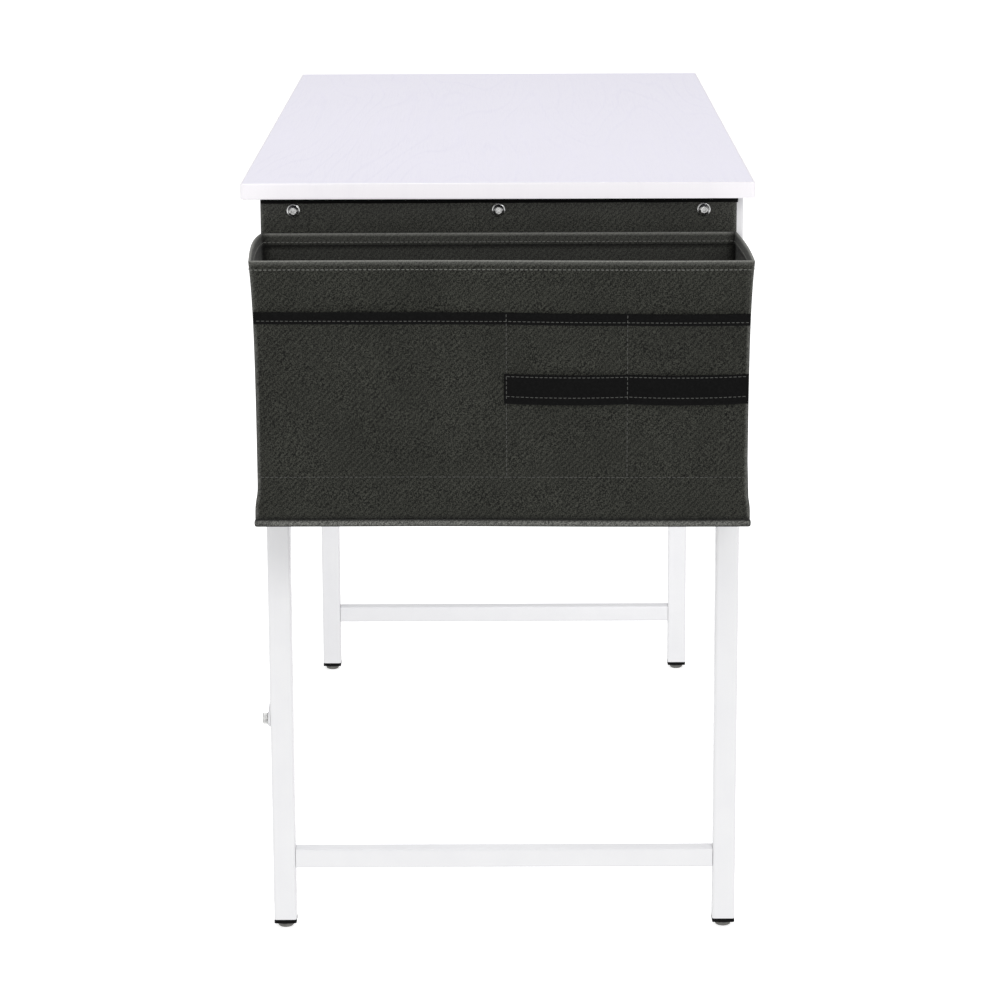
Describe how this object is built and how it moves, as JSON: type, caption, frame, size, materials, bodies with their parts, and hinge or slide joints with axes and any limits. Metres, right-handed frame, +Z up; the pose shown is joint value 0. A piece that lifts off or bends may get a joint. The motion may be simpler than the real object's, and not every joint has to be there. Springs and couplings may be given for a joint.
{
  "type": "sewing table",
  "caption": "Narrow table with a wood-grain top on a square-tube frame, a crossed brace at the back, levelling feet and a hanging fabric storage bag with pockets on one end.",
  "frame": {"origin": "on the floor, under the centre of the box that holds the table and its bag", "axes": "+X along the top away from the bag, +Y to the back, away from the user, +Z up"},
  "size_m": [1.1078, 0.48, 0.742],
  "materials": {
    "white_melamine": "white melamine with an embossed grain, satin",
    "white_edge_band": "white plastic edge band, satin",
    "white_powder_coat": "white powder coat, satin",
    "zinc_plated_steel": "bright zinc plate",
    "black_plastic": "moulded black plastic",
    "grey_plastic": "moulded grey plastic",
    "charcoal_cloth": "heathered charcoal woven cloth",
    "black_webbing": "black woven webbing and elastic",
    "grey_piping": "grey woven piping",
    "grey_board": "grey stiffening board"
  },
  "bodies": {
    "table": {"bag_bolt_back": "zinc_plated_steel", "bag_bolt_front": "zinc_plated_steel", "bag_bolt_middle": "zinc_plated_steel", "bag_flap": "charcoal_cloth", "bag_middle_nut": "zinc_plated_steel", "bag_washer_back": "zinc_plated_steel", "bag_washer_front": "zinc_plated_steel", "bag_washer_middle": "zinc_plated_steel", "brace_bar_a": "white_powder_coat", "brace_bar_b": "white_powder_coat", "brace_bolt_left_high": "zinc_plated_steel", "brace_bolt_left_low": "zinc_plated_steel", "brace_bolt_right_high": "zinc_plated_steel", "brace_bolt_right_low": "zinc_plated_steel", "brace_centre_bolt": "zinc_plated_steel", "brace_centre_nut": "zinc_plated_steel", "edge_band": "white_edge_band", "end_rail_left": "white_powder_coat", "end_rail_right": "white_powder_coat", "flap_tape": "black_webbing", "foot_bar_left": "white_powder_coat", "foot_bar_right": "white_powder_coat", "leg_back_left": "white_powder_coat", "leg_back_right": "white_powder_coat", "leg_front_left": "white_powder_coat", "leg_front_right": "white_powder_coat", "leg_plug_back_left": "black_plastic", "leg_plug_back_right": "black_plastic", "leg_plug_front_left": "black_plastic", "leg_plug_front_right": "black_plastic", "long_rail_back": "white_powder_coat", "long_rail_front": "white_powder_coat", "rail_bolt_back": "zinc_plated_steel", "rail_bolt_front": "zinc_plated_steel", "rail_washer_back": "zinc_plated_steel", "rail_washer_front": "zinc_plated_steel", "top_board": "white_melamine", "top_screw_1": "zinc_plated_steel", "top_screw_2": "zinc_plated_steel", "top_screw_3": "zinc_plated_steel", "top_screw_4": "zinc_plated_steel", "top_screw_5": "zinc_plated_steel", "top_screw_6": "zinc_plated_steel"},
    "bag": {"bag_body": "charcoal_cloth", "pocket_panel": "charcoal_cloth", "pocket_binding": "black_webbing", "elastic_band": "black_webbing", "bag_piping": "grey_piping", "bag_bottom_board": "grey_board"},
    "foot_back_left": {"levelling_foot_back_left": "grey_plastic"},
    "foot_back_right": {"levelling_foot_back_right": "grey_plastic"},
    "foot_front_left": {"levelling_foot_front_left": "grey_plastic"},
    "foot_front_right": {"levelling_foot_front_right": "grey_plastic"}
  },
  "joints": [
    {"name": "bag_swing", "type": "hinge", "parent": "table", "child": "bag", "pos_m": [-0.42315, -0.0037, 0.6925], "axis": [0, 1, 0], "range_deg": [0, 50]},
    {"name": "foot_front_left_level", "type": "slide", "parent": "table", "child": "foot_front_left", "axis": [0, 0, -1], "range_m": [0, 0.008]},
    {"name": "foot_front_right_level", "type": "slide", "parent": "table", "child": "foot_front_right", "axis": [0, 0, -1], "range_m": [0, 0.008]},
    {"name": "foot_back_left_level", "type": "slide", "parent": "table", "child": "foot_back_left", "axis": [0, 0, -1], "range_m": [0, 0.008]},
    {"name": "foot_back_right_level", "type": "slide", "parent": "table", "child": "foot_back_right", "axis": [0, 0, -1], "range_m": [0, 0.008]}
  ]
}
